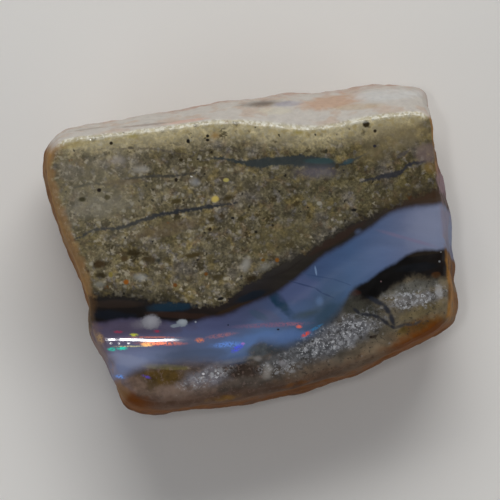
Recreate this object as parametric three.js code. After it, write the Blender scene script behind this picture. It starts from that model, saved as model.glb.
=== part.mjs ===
// A rubbed piece of opal rough: a seam of precious opal between two beds of sandstone, with one face cut across them.
// It lies on its flat back with the cut face up. Millimetres, +Z up, the origin in the middle of the back.
import * as THREE from "three";
import { mergeVertices } from "three/addons/utils/BufferGeometryUtils.js";

const { lerp, smoothstep } = THREE.MathUtils;

// Heights above the back.
const FACE_HEIGHT = 12.8; // the cut face in its middle
const GIRTH_HEIGHT = 4.9; // where the stone is widest

// Outlines seen from above, anticlockwise from the right.
const FACE_OUTLINE = [
  [14.5, 1.3], [14.1, 5.2], [13.75, 8.3], [13.5, 9.9], [12.9, 10.3], [10, 10.15], [6.4, 9.5], [4.7, 9.3],
  [1.1, 9.6], [-2, 9.8], [-6.3, 9.3], [-11.5, 8.65], [-14.1, 8.2], [-15.05, 7], [-15.1, 5.3], [-14.4, 2.5],
  [-13.05, -0.8], [-12.2, -3.4], [-11.9, -5.4], [-11.4, -6.9], [-10.7, -8.3], [-10.1, -10.1], [-9.2, -11.3],
  [-7.5, -11.8], [-0.7, -11.1], [3.2, -10.4], [8.7, -8.5], [13.5, -6.3], [14.8, -5.1], [14.95, -3.4], [14.8, -1],
];
const GIRTH_OUTLINE = [
  [15.1, 2.3], [14.85, 4.5], [14.25, 5.9], [13.85, 8], [13.6, 10.4], [13.05, 12.05], [11.85, 12.4], [5.4, 12],
  [-1.3, 11.25], [-5.6, 10.45], [-11.3, 9.6], [-14.1, 9], [-15.3, 8], [-15.65, 6.2], [-15.2, 3.7], [-14.2, 0.8],
  [-12.8, -2.4], [-12.2, -5.2], [-11.6, -7], [-10.9, -8.3], [-10.5, -9.4], [-10.1, -10.8], [-9.4, -11.9],
  [-7.9, -12.4], [-4.1, -12.1], [0.9, -11.5], [5.1, -10.5], [8.7, -9.1], [12, -7.5], [14.5, -6.3], [15.4, -5.4],
  [15.65, -3.7], [15.4, -1.4], [15.1, 0.2],
];
const BACK_OUTLINE = [
  [12.7, 2.2], [12.3, 7.2], [10.6, 9.7], [5, 9.9], [-3, 8.6], [-10.6, 7.3], [-13.3, 5.3], [-12.3, 0.6],
  [-10.5, -4.2], [-9.1, -8.8], [-6.9, -10.3], [0, -9.6], [7, -7.6], [12.1, -5.3], [13.4, -2.6],
];

// Edges: the cut face meets the walls in a crisp edge, worn rounder along the near side.
const CRISP_EDGE = 0.45;
const WORN_EDGE = 1.3;
const WORN_TOWARDS = [0.5, 0.9]; // how squarely an edge faces -Y before it is worn, and where it is worn most
const BACK_EDGE = 1.5;

// How the walls swell from the back out to the girth, and draw in from there to the cut face.
const BACK_SWELL = 2;
const FACE_SWELL = 1.7;

// The cut face: a slight crown, a low bed that falls away, and the seam rubbed hollow, less so towards its right end.
const CROWN = 0.45;
const CROWN_RADIUS = 15;
const LOW_BED_FALL = 0.11; // millimetres down for each millimetre out
const SEAM_LOW = -6.6; // the seam's middle at its left end
const SEAM_RISE = 8.4;
const SEAM_BEND = [-4, 14.5];
const SEAM_HALF_WIDTH = 1.7;
const SEAM_HOLLOW = 0.38;
const SEAM_HOLLOW_FADES = [3, 14.5];

// The walls: the hard seam stands out as a rib between two soft, weathered beds, and the rest is lumpy.
const SEAM_DIP = -0.16; // how far the seam shifts for each millimetre down
const RIB = 0.18;
const SOFT_BED_OFFSET = 3.1;
const SOFT_BED_HALF_WIDTH = 0.8;
const SOFT_BED_DEPTH = 0.28;
const LUMP = 0.11;
const LUMP_PACE = [1.05, 0.85, 0.75];
const WEATHERED_FROM = 0.8; // the share of the way out from the middle at which the weathering begins to show
const HOLLOWS = [
  { at: [5.5, 11, 1.6], radius: 2.6, depth: 0.8 },
  { at: [-8, 10, 1.8], radius: 2.4, depth: 0.7 },
  { at: [-14.6, 3.2, 8.4], radius: 2.2, depth: 0.6 },
  { at: [3.4, -11, 8.6], radius: 2.4, depth: 0.7 },
  { at: [-7.5, -12, 1.9], radius: 2.4, depth: 0.6 },
  { at: [14.5, 7, 1.8], radius: 2.6, depth: 0.7 },
  { at: [11, -8, 8.6], radius: 1.9, depth: 0.45 },
];

// Flats rubbed on the low edges: which way each faces, and a point on it.
const FLATS = [
  { facing: [-0.3, -0.7, -0.65], through: [-6, -11.1, 2.5] },
  { facing: [0.3, -0.75, -0.6], through: [7, -8.4, 1.5] },
  { facing: [0.8, -0.1, -0.6], through: [14.1, -1.5, 2.4] },
  { facing: [0.35, 0.7, -0.6], through: [11.6, 10, 2.2] },
  { facing: [-0.1, 0.75, -0.65], through: [-1, 10, 2] },
  { facing: [-0.62, 0.62, -0.5], through: [-13.3, 8.1, 2.4] },
  { facing: [-0.8, 0.05, -0.6], through: [-13.4, 2, 2] },
].map(({ facing, through }) => {
  const normal = new THREE.Vector3(...facing).normalize();
  return new THREE.Plane().setFromNormalAndCoplanarPoint(normal, new THREE.Vector3(...through));
});

const CELLS = [36, 30, 12];
const EDGE_CROWDING = 0.7; // 0 spaces the cells evenly, 1 crowds them most towards the edges
const OUTLINE_STEPS = 720;

// How far an outline lies from the middle, as a function of direction.
function reachOf(outline) {
  const corners = outline.map(([x, y]) => new THREE.Vector3(x, y, 0));
  const curve = new THREE.CatmullRomCurve3(corners, true);
  const samples = curve.getPoints(OUTLINE_STEPS).map((p) => ({ angle: Math.atan2(p.y, p.x), reach: p.length() }));
  samples.sort((p, q) => p.angle - q.angle);
  return (angle) => {
    const found = samples.findIndex((p) => p.angle > angle);
    const next = samples[Math.max(found, 0)];
    const last = samples.at(Math.max(found, 0) - 1);
    const span = next.angle - last.angle;
    return span > 0 ? lerp(last.reach, next.reach, (angle - last.angle) / span) : next.reach;
  };
}

const faceReach = reachOf(FACE_OUTLINE);
const girthReach = reachOf(GIRTH_OUTLINE);
const backReach = reachOf(BACK_OUTLINE);

const bell = (distance, width) => Math.exp(-((distance / width) ** 2));

const seamMiddle = (x) => SEAM_LOW + SEAM_RISE * smoothstep(x, ...SEAM_BEND);

// The height of the cut face over a point.
function faceHeight(x, y) {
  const above = y - seamMiddle(x);
  const crown = CROWN * ((x * x + y * y) / CROWN_RADIUS ** 2);
  const fall = LOW_BED_FALL * Math.max(0, -above - SEAM_HALF_WIDTH);
  const hollow = SEAM_HOLLOW * bell(above, SEAM_HALF_WIDTH) * (1 - smoothstep(x, ...SEAM_HOLLOW_FADES));
  return FACE_HEIGHT - crown - fall - hollow;
}

// The stone's half-width in one direction at one height, before its weathering.
function wallReach(angle, z, top) {
  const girth = girthReach(angle);
  if (z < GIRTH_HEIGHT) return lerp(girth, backReach(angle), (1 - z / GIRTH_HEIGHT) ** BACK_SWELL);
  return lerp(girth, faceReach(angle), ((z - GIRTH_HEIGHT) / (top - GIRTH_HEIGHT)) ** FACE_SWELL);
}

// How far the wall stands out or in at a point on it.
function weathering(x, y, z, top) {
  const above = y - seamMiddle(x) - SEAM_DIP * (top - z);
  const rib = RIB * bell(above, SEAM_HALF_WIDTH);
  const softBeds = SOFT_BED_DEPTH * bell(Math.abs(above) - SOFT_BED_OFFSET, SOFT_BED_HALF_WIDTH);
  const [alongX, alongY, alongZ] = LUMP_PACE;
  const lumps = LUMP * Math.sin(x * alongX + z) * Math.sin(y * alongY - z * alongZ + 1);
  const hollows = HOLLOWS.map(({ at, radius, depth }) => {
    const away = Math.hypot(x - at[0], y - at[1], z - at[2]);
    return depth * bell(away, radius);
  });
  return rib - softBeds + lumps - hollows.reduce((sum, hollow) => sum + hollow, 0);
}

// Moves a point near an edge onto its round: both depths are measured in from the surfaces that meet there.
function rounded(wallDepth, endDepth, radius) {
  if (wallDepth >= radius || endDepth >= radius) return [wallDepth, endDepth];
  const pull = radius / Math.hypot(radius - wallDepth, radius - endDepth);
  return [radius - (radius - wallDepth) * pull, radius - (radius - endDepth) * pull];
}

// Where a point of a cube's surface, from -1 to 1 each way, lies on the stone before its flats are rubbed.
function onStone(a, b, c) {
  const out = Math.max(Math.abs(a), Math.abs(b));
  const [halfWidth, halfDepth] = CELLS;
  const angle = Math.atan2(b * halfDepth, a * halfWidth);
  const [dx, dy] = [Math.cos(angle), Math.sin(angle)];
  const face = faceReach(angle) * out;
  const top = faceHeight(face * dx, face * dy);
  const z = (top * (c + 1)) / 2;
  const plain = wallReach(angle, z, top);
  const onWall = Math.sin((Math.PI * z) / top) * smoothstep(out, WEATHERED_FROM, 1);
  const reach = plain + weathering(plain * dx, plain * dy, z, top) * onWall;
  const faceEdge = lerp(CRISP_EDGE, WORN_EDGE, smoothstep(-dy, ...WORN_TOWARDS));
  const isUpper = c > 0;
  const endDepth = isUpper ? top - z : z;
  const [wallIn, endIn] = rounded(reach * (1 - out), endDepth, isUpper ? faceEdge : BACK_EDGE);
  return new THREE.Vector3((reach - wallIn) * dx, (reach - wallIn) * dy, isUpper ? top - endIn : endIn);
}

// Brings a point that stands proud of a flat back onto it.
function rubbed(point) {
  FLATS.forEach((flat) => {
    const proud = Math.max(0, flat.distanceToPoint(point));
    point.addScaledVector(flat.normal, -proud);
  });
  return point;
}

const crowded = (v) => lerp(v, Math.sin((v * Math.PI) / 2), EDGE_CROWDING);

function stoneGeometry() {
  const cube = new THREE.BoxGeometry(2, 2, 2, ...CELLS);
  cube.deleteAttribute("normal");
  cube.deleteAttribute("uv");
  const stone = mergeVertices(cube);
  const points = stone.attributes.position;
  for (let i = 0; i < points.count; i += 1) {
    const corner = [points.getX(i), points.getY(i), points.getZ(i)];
    points.setXYZ(i, ...rubbed(onStone(...corner.map(crowded))));
  }
  stone.computeVertexNormals();
  return stone;
}

const opalStone = new THREE.Mesh(
  stoneGeometry(),
  new THREE.MeshStandardMaterial({ color: 0x7f786c, roughness: 0.45, metalness: 0 }),
);
opalStone.name = "opal_stone";

const part = new THREE.Group();
part.add(opalStone);

export default part;
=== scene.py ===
import itertools
import math

import bmesh
import bpy
import numpy as np
from mathutils import Matrix, Vector


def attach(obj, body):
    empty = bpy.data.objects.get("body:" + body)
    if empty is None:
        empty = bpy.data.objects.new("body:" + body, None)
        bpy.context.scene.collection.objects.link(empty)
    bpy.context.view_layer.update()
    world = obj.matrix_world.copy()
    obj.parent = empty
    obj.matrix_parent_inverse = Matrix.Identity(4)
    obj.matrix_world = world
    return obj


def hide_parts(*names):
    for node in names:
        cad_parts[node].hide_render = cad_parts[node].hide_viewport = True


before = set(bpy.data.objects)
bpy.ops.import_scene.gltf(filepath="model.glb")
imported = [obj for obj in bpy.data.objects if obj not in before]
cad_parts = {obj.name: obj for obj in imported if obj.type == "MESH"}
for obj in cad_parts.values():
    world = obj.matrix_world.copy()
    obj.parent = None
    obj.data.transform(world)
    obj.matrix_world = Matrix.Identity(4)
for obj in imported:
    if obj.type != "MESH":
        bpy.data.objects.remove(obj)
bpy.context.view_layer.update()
mm = 0.001


def paint(hexCode):
    # a colour as written on a paint chart, in the linear numbers a shader wants
    channels = [int(hexCode[i:i + 2], 16) / 255 for i in (0, 2, 4)]
    linear = [c / 12.92 if c < 0.04045 else ((c + 0.055) / 1.055) ** 2.4 for c in channels]
    return (*linear, 1)


class Wire:  # a node's output that can be used in sums
    def __init__(self, graph, socket):
        self.graph = graph
        self.socket = socket

    def __repr__(self):  # how a graph knows the same sum again
        return self.socket.node.name + self.socket.identifier

    def __add__(self, other):
        return self.graph.maths("ADD", self, other)

    def __sub__(self, other):
        return self.graph.maths("SUBTRACT", self, other)

    def __mul__(self, other):
        return self.graph.maths("MULTIPLY", self, other)

    def __truediv__(self, other):
        return self.graph.maths("DIVIDE", self, other)

    def __rsub__(self, other):
        return self.graph.maths("SUBTRACT", other, self)

    def __abs__(self):
        return self.graph.maths("ABSOLUTE", self)

    __radd__ = __add__
    __rmul__ = __mul__

    def output(self, name):  # another output of the same node
        return Wire(self.graph, self.socket.node.outputs[name])


class Graph:  # a material's node tree
    def __init__(self, tree):
        self.tree = tree
        self.tree.nodes.clear()
        self.made = {}

    def node(self, kind, settings, inputs, output=0):
        # a sum or texture asked for twice is made once
        key = repr((kind, settings, inputs))
        if key not in self.made:
            self.made[key] = self.addNode(kind, settings, inputs)
        made = self.made[key]
        return Wire(self, made.outputs[output]) if made.outputs else None

    def addNode(self, kind, settings, inputs):
        made = self.tree.nodes.new(kind if kind.startswith("Node") else "ShaderNode" + kind)
        for name, value in settings.items():
            if name == "stops":
                self.fillRamp(made.color_ramp, value)
            elif name == "points":
                self.fillCurve(made.mapping, value)
            else:
                setattr(made, name, value)
        for key, value in inputs.items():
            if isinstance(value, Wire):
                self.tree.links.new(value.socket, made.inputs[key])
            else:
                made.inputs[key].default_value = value
        return made

    def fillRamp(self, ramp, stops):
        while len(ramp.elements) < len(stops):
            ramp.elements.new(0.5)
        for element, (place, colour) in zip(ramp.elements, stops):
            element.position = place
            element.color = colour

    def fillCurve(self, mapping, points):
        curve = mapping.curves[0]
        while len(curve.points) < len(points):
            curve.points.new(0.5, 0.5)
        for point, place in zip(curve.points, points):
            point.location = place
            point.handle_type = "AUTO_CLAMPED"
        mapping.update()

    def maths(self, operation, *values):
        return self.node("Math", {"operation": operation}, dict(enumerate(values)))

    def timesPlus(self, value, factor, added):
        return self.maths("MULTIPLY_ADD", value, factor, added)

    def smooth(self, value, low, high):  # 0 at low, 1 at high
        settings = {"interpolation_type": "SMOOTHSTEP", "clamp": False}
        return self.node("MapRange", settings, {0: value, 1: low, 2: high})

    def limit(self, value, low, high):
        return self.node("Clamp", {}, {0: value, 1: low, 2: high})

    def blend(self, mask, below, above):  # colours
        return self.node("Mix", {"data_type": "RGBA"}, {0: mask, 6: below, 7: above}, 2)

    def between(self, mask, below, above):  # numbers
        return self.node("Mix", {"data_type": "FLOAT"}, {0: mask, 2: below, 3: above})

    def shade(self, colour, brightness):
        return self.node("HueSaturation", {}, {"Value": brightness, "Color": colour})

    def cloud(self, place, size, detail, roughness=0.5):
        inputs = {"Vector": place, "Scale": 1 / (size * mm), "Detail": detail, "Roughness": roughness}
        return self.node("TexNoise", {}, inputs)

    def wobble(self, place, size, detail, amount):  # a cloud that swings to either side of 0
        return (self.cloud(place, size, detail) - 0.5) * amount

    def grains(self, place, size):  # the distance to a grain's middle; its Color is random
        return self.node("TexVoronoi", {}, {"Vector": place, "Scale": 1 / (size * mm)})

    def chance(self, cell):  # a random number for each grain
        return self.node("SeparateColor", {}, {0: cell.output("Color")})

    def dots(self, place, size, share, radius, softness, ragged=0.0):
        # a share of the grains, as soft dots
        faint = 0.04  # the share that shows only in part
        cell = self.grains(place, size)
        chosen = self.smooth(self.chance(cell), 1 - share, 1 + faint - share)
        return chosen * self.smooth(cell + ragged, radius + softness, radius - softness)

    def blob(self, s, at, size, turn, softness, ragged=0.0, strength=1.0, colour=None, below=None):
        # a soft turned ellipse that goes a little way in: its mask, or its colour laid over below
        inputs = {"X": s["x"], "Y": s["y"], "Under": s["under"], "Ragged": ragged}
        for axis, half, angle in (("U", size[0], turn), ("V", size[1], turn + 90)):
            across = math.cos(math.radians(angle)) / half
            up = math.sin(math.radians(angle)) / half
            inputs.update({axis + "x": across, axis + "y": up, axis + "0": -across * at[0] - up * at[1]})
        inputs.update({"Outer": 1 + softness, "Inner": 1 - softness, "Strength": strength})
        if below is None:
            return self.node("Group", {"node_tree": s["softBlob"]}, inputs, "Mask")
        inputs.update({"Below": below, "Above": paint(colour)})
        return self.node("Group", {"node_tree": s["softBlob"]}, inputs, "Colour")

    def strand(self, s, points, width, softness, ragged):
        # a crack: a chain of thin ellipses between points
        reach = 0.62  # half of an ellipse's length as a share of its run, so that they overlap
        mask = None
        for start, end in zip(points, points[1:]):
            run = math.dist(start, end)
            turn = math.degrees(math.atan2(end[1] - start[1], end[0] - start[0]))
            middle = ((start[0] + end[0]) / 2, (start[1] + end[1]) / 2)
            piece = self.blob(s, middle, (run * reach, width), turn, softness, ragged)
            mask = piece if mask is None else self.maths("MAXIMUM", mask, piece)
        return mask


def softBlobGroup():
    tree = bpy.data.node_groups.new("softBlob", "ShaderNodeTree")
    numbers = [
        "X", "Y", "Under", "Ragged", "Ux", "Uy", "U0", "Vx", "Vy", "V0", "Outer", "Inner", "Strength",
    ]
    for name in numbers:
        tree.interface.new_socket(name, in_out="INPUT", socket_type="NodeSocketFloat")
    for name in ("Below", "Above"):
        tree.interface.new_socket(name, in_out="INPUT", socket_type="NodeSocketColor")
    tree.interface.new_socket("Mask", in_out="OUTPUT", socket_type="NodeSocketFloat")
    tree.interface.new_socket("Colour", in_out="OUTPUT", socket_type="NodeSocketColor")
    g = Graph(tree)
    given = g.node("NodeGroupInput", {}, {})
    across = []
    for axis in "UV":
        part = g.timesPlus(given.output("Y"), given.output(axis + "y"), given.output(axis + "0"))
        across.append(g.timesPlus(given.output("X"), given.output(axis + "x"), part))
    u, v = across
    away = g.maths("SQRT", u * u + v * v + given.output("Under")) + given.output("Ragged")
    ends = {0: away, 1: given.output("Outer"), 2: given.output("Inner"), 4: given.output("Strength")}
    mask = g.node("MapRange", {"interpolation_type": "SMOOTHSTEP", "clamp": False}, ends)
    colour = g.blend(mask, given.output("Below"), given.output("Above"))
    g.node("NodeGroupOutput", {}, {"Mask": mask, "Colour": colour})
    return tree


stone = {  # millimetres, as the part's own source has them
    "faceHeight": 12.8,
    "girthHeight": 4.9,
    "faceOutline": [
        (14.5, 1.3), (14.1, 5.2), (13.75, 8.3), (13.5, 9.9), (12.9, 10.3), (10, 10.15), (6.4, 9.5),
        (4.7, 9.3), (1.1, 9.6), (-2, 9.8), (-6.3, 9.3), (-11.5, 8.65), (-14.1, 8.2), (-15.05, 7),
        (-15.1, 5.3), (-14.4, 2.5), (-13.05, -0.8), (-12.2, -3.4), (-11.9, -5.4), (-11.4, -6.9),
        (-10.7, -8.3), (-10.1, -10.1), (-9.2, -11.3), (-7.5, -11.8), (-0.7, -11.1), (3.2, -10.4),
        (8.7, -8.5), (13.5, -6.3), (14.8, -5.1), (14.95, -3.4), (14.8, -1),
    ],
    "girthOutline": [
        (15.1, 2.3), (14.85, 4.5), (14.25, 5.9), (13.85, 8), (13.6, 10.4), (13.05, 12.05), (11.85, 12.4),
        (5.4, 12), (-1.3, 11.25), (-5.6, 10.45), (-11.3, 9.6), (-14.1, 9), (-15.3, 8), (-15.65, 6.2),
        (-15.2, 3.7), (-14.2, 0.8), (-12.8, -2.4), (-12.2, -5.2), (-11.6, -7), (-10.9, -8.3),
        (-10.5, -9.4), (-10.1, -10.8), (-9.4, -11.9), (-7.9, -12.4), (-4.1, -12.1), (0.9, -11.5),
        (5.1, -10.5), (8.7, -9.1), (12, -7.5), (14.5, -6.3), (15.4, -5.4), (15.65, -3.7), (15.4, -1.4),
        (15.1, 0.2),
    ],
    "backOutline": [
        (12.7, 2.2), (12.3, 7.2), (10.6, 9.7), (5, 9.9), (-3, 8.6), (-10.6, 7.3), (-13.3, 5.3),
        (-12.3, 0.6), (-10.5, -4.2), (-9.1, -8.8), (-6.9, -10.3), (0, -9.6), (7, -7.6), (12.1, -5.3),
        (13.4, -2.6),
    ],
    "crispEdge": 0.45,
    "wornEdge": 1.3,
    "wornTowards": (0.5, 0.9),
    "backEdge": 1.5,
    "crown": 0.45,
    "crownRadius": 15,
    "lowBedFall": 0.11,
    "seamLow": -6.6,
    "seamRise": 8.4,
    "seamBend": (-4, 14.5),
    "seamHalfWidth": 1.7,
    "seamHollow": 0.38,
    "seamHollowFades": (3, 14.5),
    "seamDip": -0.16,
    "rib": 0.18,
    "softBedOffset": 3.1,
    "softBedHalfWidth": 0.8,
    "softBedDepth": 0.28,
    "lump": 0.11,
    "lumpPace": (1.05, 0.85, 0.75),
    "hollows": [  # place, radius, depth
        ((5.5, 11, 1.6), 2.6, 0.8), ((-8, 10, 1.8), 2.4, 0.7), ((-14.6, 3.2, 8.4), 2.2, 0.6),
        ((3.4, -11, 8.6), 2.4, 0.7), ((-7.5, -12, 1.9), 2.4, 0.6), ((14.5, 7, 1.8), 2.6, 0.7),
        ((11, -8, 8.6), 1.9, 0.45),
    ],
    "flats": [  # which way each faces, and a point on it
        ((-0.3, -0.7, -0.65), (-6, -11.1, 2.5)), ((0.3, -0.75, -0.6), (7, -8.4, 1.5)),
        ((0.8, -0.1, -0.6), (14.1, -1.5, 2.4)), ((0.35, 0.7, -0.6), (11.6, 10, 2.2)),
        ((-0.1, 0.75, -0.65), (-1, 10, 2)), ((-0.62, 0.62, -0.5), (-13.3, 8.1, 2.4)),
        ((-0.8, 0.05, -0.6), (-13.4, 2, 2)),
    ],
    "proportions": (36, 30),  # width to depth of the cube the stone is shaped from
    "cells": (172, 136, 58),
    "crowding": 0.3,
    "outlineSteps": 48,
    "wallCurve": (2, 1.7),  # how the walls swell from the back to the girth, and draw in above it
    "weatheredFrom": 0.8,
}


def smoothstep(value, low, high):
    t = np.clip((value - low) / (high - low), 0, 1)
    return t * t * (3 - 2 * t)


def bell(distance, width):
    return np.exp(-(distance / width) ** 2)


def mix(low, high, share):
    return low + (high - low) * share


def traceOutline(corners):
    # a smooth closed line through the corners, and which way its side faces
    corners = np.array(corners, float)
    before = np.roll(corners, 1, 0)
    after = np.roll(corners, -1, 0)
    beyond = np.roll(corners, -2, 0)
    gap = np.sqrt(np.linalg.norm(after - corners, axis=1))[:, None]
    gapBefore = np.roll(gap, 1, 0)
    gapAfter = np.roll(gap, -1, 0)
    step = after - corners
    leave = (corners - before) / gapBefore - (after - before) / (gapBefore + gap) + step / gap
    arrive = step / gap - (beyond - corners) / (gap + gapAfter) + (beyond - after) / gapAfter
    t = np.linspace(0, 1, stone["outlineSteps"], endpoint=False)[:, None, None]
    line = corners + step * (3 * t**2 - 2 * t**3)
    line = line + gap * (leave * (t**3 - 2 * t**2 + t) + arrive * (t**3 - t**2))
    line = line.transpose(1, 0, 2).reshape(-1, 2)
    tangent = np.roll(line, -1, 0) - np.roll(line, 1, 0)
    tangent /= np.linalg.norm(tangent, axis=1)[:, None]
    angle = np.arctan2(line[:, 1], line[:, 0])
    order = np.argsort(angle)
    return {
        "angle": angle[order],
        "reach": np.linalg.norm(line, axis=1)[order],
        "sideX": tangent[order, 1],
        "sideY": -tangent[order, 0],
    }


def along(outline, what, angle):
    return np.interp(angle, outline["angle"], outline[what], period=2 * math.pi)


outlines = [traceOutline(stone[name]) for name in ("faceOutline", "girthOutline", "backOutline")]


def seamMiddle(x):
    return stone["seamLow"] + stone["seamRise"] * smoothstep(x, *stone["seamBend"])


def faceHeight(x, y):
    above = y - seamMiddle(x)
    crown = stone["crown"] * (x * x + y * y) / stone["crownRadius"] ** 2
    fall = stone["lowBedFall"] * np.maximum(0, -above - stone["seamHalfWidth"])
    fades = 1 - smoothstep(x, *stone["seamHollowFades"])
    hollow = stone["seamHollow"] * bell(above, stone["seamHalfWidth"]) * fades
    return stone["faceHeight"] - crown - fall - hollow


def weathering(x, y, z, top):
    above = y - seamMiddle(x) - stone["seamDip"] * (top - z)
    out = stone["rib"] * bell(above, stone["seamHalfWidth"])
    out -= stone["softBedDepth"] * bell(np.abs(above) - stone["softBedOffset"], stone["softBedHalfWidth"])
    alongX, alongY, alongZ = stone["lumpPace"]
    out += stone["lump"] * np.sin(x * alongX + z) * np.sin(y * alongY - z * alongZ + 1)
    for (hx, hy, hz), radius, depth in stone["hollows"]:
        away = np.sqrt((x - hx) ** 2 + (y - hy) ** 2 + (z - hz) ** 2)
        out -= depth * bell(away, radius)
    return out


def gridCube():
    # a cube from -1 to 1 whose sides are a fine grid
    cube = bmesh.new()
    bmesh.ops.create_cube(cube, size=2)
    for axis, count in enumerate(stone["cells"]):
        uncut = [edge for edge in cube.edges if abs(edge.verts[0].co[axis] - edge.verts[1].co[axis]) > 1]
        bmesh.ops.subdivide_edges(cube, edges=uncut, cuts=count - 1, use_grid_fill=True)
    return cube


def wallReach(angle, out, z, top):
    # how far the wall stands from the middle
    faceReach, girthReach, backReach = [along(line, "reach", angle) for line in outlines]
    girthHeight = stone["girthHeight"]
    backSwell, faceSwell = stone["wallCurve"]
    lowWall = mix(girthReach, backReach, np.clip(1 - z / girthHeight, 0, 1) ** backSwell)
    highShare = np.clip((z - girthHeight) / (top - girthHeight), 0, 1) ** faceSwell
    plain = np.where(z < girthHeight, lowWall, mix(girthReach, faceReach, highShare))
    weathered = np.sin(math.pi * z / top) * smoothstep(out, stone["weatheredFrom"], 1)
    return plain + weathering(plain * np.cos(angle), plain * np.sin(angle), z, top) * weathered


def roundEdges(isUpper, endDepth, wallDepth, worn):
    # how far in from the end and the wall a point lies once the edge between them is rounded
    radius = np.where(isUpper, mix(stone["crispEdge"], stone["wornEdge"], worn), stone["backEdge"])
    away = np.hypot(radius - wallDepth, radius - endDepth)
    near = (wallDepth < radius) & (endDepth < radius)
    pull = np.where(near, radius / np.maximum(away, 1e-9), 1)
    wallIn = np.where(near, radius - (radius - wallDepth) * pull, wallDepth)
    endIn = np.where(near, radius - (radius - endDepth) * pull, endDepth)
    return endIn, wallIn


def shapeStone(places):
    # where each point of the cube's surface lies on the stone, in millimetres
    crowded = mix(places, np.sin(places * math.pi / 2), stone["crowding"])
    a, b, c = crowded.T
    out = np.maximum(np.abs(a), np.abs(b))
    halfWidth, halfDepth = stone["proportions"]
    angle = np.arctan2(b * halfDepth, a * halfWidth)
    dx, dy = np.cos(angle), np.sin(angle)
    face = outlines[0]
    faceReach = along(face, "reach", angle)
    top = faceHeight(faceReach * out * dx, faceReach * out * dy)
    z = top * (c + 1) / 2
    reach = wallReach(angle, out, z, top)
    isUpper = c > 0
    worn = smoothstep(-dy, *stone["wornTowards"])
    endIn, wallIn = roundEdges(isUpper, np.where(isUpper, top - z, z), reach * (1 - out), worn)
    height = np.where(isUpper, top - endIn, endIn)
    points = np.stack([(reach - wallIn) * dx, (reach - wallIn) * dy, height], 1)
    for facing, through in stone["flats"]:
        normal = np.array(facing) / np.linalg.norm(facing)
        proud = np.maximum(0, (points - np.array(through)) @ normal)
        points -= proud[:, None] * normal
    # how far in from the cut face's edge, or down from it where negative
    sides = np.stack([along(face, "sideX", angle), along(face, "sideY", angle)], 1)
    square = np.abs(sides[:, 0] * dx + sides[:, 1] * dy)
    rim = np.where(np.isclose(c, 1), faceReach * (1 - out) * square, z - top)
    return points, rim, sides


relief = {  # millimetres: size, amount, octaves, and a shift so that no two clouds line up
    "wallBroad": (2.6, 0.08, 3, 0),
    "wallMiddle": (0.85, 0.06, 2, 0),
    "wallFine": (0.4, 0.03, 1, 0),
    "faceBroad": (3.0, 0.035, 3, 40),
    "faceGrain": (0.42, 0.022, 1, 80),
    "edgeChips": (0.9, 0.1, 2, 120),
    "edgeReach": 0.9,
    "wallRange": (0.1, -1.2),
    "backRange": (1.2, 0.1),  # the back's relief only goes inwards
    "wallCalm": 0.6,  # how much smoother the opal is than the sandstone
    "faceCalm": 0.85,
    "edgeCalm": 0.7,
    "seamShift": 0.6,
    "seamReach": (3.1, 2.3),
    "seed": 7,
    "latticeSize": 32,
    "latticeStart": 100,
    "bumps": [  # place, radius, height
        ((-7.35, -5.45), 0.7, 0.07), ((-5.1, -5.6), 0.45, 0.06), ((-10.55, -8.75), 0.5, -0.25),
        ((-2.62, 3.77), 0.25, 0.05), ((6.2, -7.3), 1.1, 0.08), ((9, -6.2), 0.9, 0.07),
        ((1.2, -8.2), 0.9, -0.06), ((-0.6, -9.2), 1.1, -0.1), ((11.8, -3.6), 1.3, 0.06),
        ((12, -1.3), 1.4, -0.07), ((8.6, -4.4), 0.8, -0.06),
    ],
}
lattice = np.random.default_rng(relief["seed"]).uniform(-1, 1, (relief["latticeSize"],) * 3)
tilt = np.array([[0.8, 0.6, 0], [-0.48, 0.64, 0.6], [0.36, -0.48, 0.8]])  # each finer cloud is turned


def cloudAt(name, points):
    # smooth random heights through space
    size, amount, octaves, shift = relief[name]
    total = np.zeros(len(points))
    place = (points + shift) / size + relief["latticeStart"]
    for octave in range(octaves):
        place = place @ tilt
        cell = np.floor(place).astype(int)
        share = place - cell
        share = share * share * (3 - 2 * share)
        for corner in itertools.product((0, 1), repeat=3):
            weight = np.prod(np.where(corner, share, 1 - share), axis=1)
            total += weight * lattice[tuple(((cell + corner) % len(lattice)).T)] / 2**octave
        place = place * 2
    return total * amount


def roughen(points, normals, rim):
    # small relief along the normals: lumps on the walls, a rubbed but grainy face, and chipped edges
    x, y, z = points.T
    wall = smoothstep(rim, *relief["wallRange"])
    above = y - seamMiddle(x) - stone["seamDip"] * np.maximum(0, stone["faceHeight"] - z)
    seam = smoothstep(np.abs(above - relief["seamShift"]), *relief["seamReach"])
    lumps = cloudAt("wallMiddle", points) + cloudAt("wallFine", points)
    amount = wall * (cloudAt("wallBroad", points) + (1 - relief["wallCalm"] * seam) * lumps)
    amount += (1 - wall) * (1 - relief["faceCalm"] * seam) * cloudAt("faceBroad", points)
    amount += (1 - wall) * (1 - seam) * cloudAt("faceGrain", points)
    edge = bell(rim, relief["edgeReach"])
    amount -= edge * (1 - relief["edgeCalm"] * seam) * np.maximum(0, cloudAt("edgeChips", points))
    for (bx, by), radius, height in relief["bumps"]:
        amount += (1 - wall) * height * bell(np.hypot(x - bx, y - by), radius)
    amount = mix(amount, -np.abs(amount), smoothstep(z, *relief["backRange"]))
    moved = points + normals * amount[:, None]
    moved[:, 2] = np.maximum(moved[:, 2], 0)
    return moved


def setPlaces(mesh, points):
    mesh.vertices.foreach_set("co", points.astype(np.float32).ravel())
    mesh.update()


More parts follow.
